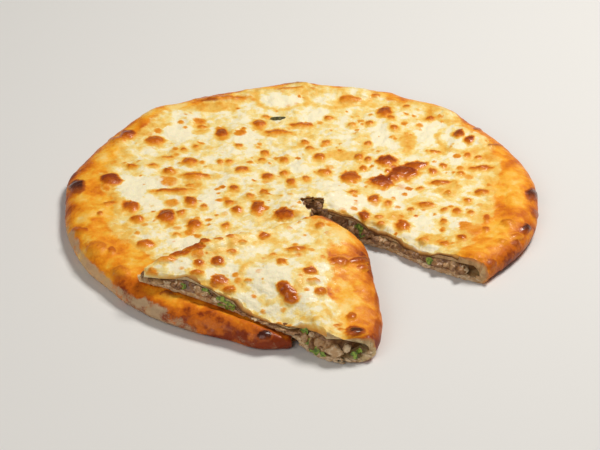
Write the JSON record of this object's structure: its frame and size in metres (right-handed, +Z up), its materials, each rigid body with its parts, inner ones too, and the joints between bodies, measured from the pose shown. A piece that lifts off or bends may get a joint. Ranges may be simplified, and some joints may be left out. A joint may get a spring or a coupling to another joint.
{
  "type": "khachapuri",
  "caption": "Flat round cheese-topped bread filled with minced meat, with a wedge-shaped slice cut out and laid across it.",
  "frame": {"origin": "centre of the round's flat underside", "axes": "+Z up, out of the top of the bread; the cut wedge opens towards -Y and +X, and the slice points to -X"},
  "size_m": [0.2823, 0.2953, 0.0328],
  "materials": {
    "crust": "baked dough crust, golden to dark brown, dusted with flour on its side, satin",
    "cheese": "melted cheese, pale cream with browned blisters, moist and glossy",
    "filling": "cooked minced meat with crumbs and green herbs, moist and rough"
  },
  "bodies": {
    "root": {"bread_dough": "crust", "bread_cheese": "cheese", "bread_filling": "filling", "slice_dough": "crust", "slice_cheese": "cheese", "slice_filling": "filling"}
  },
  "joints": []
}
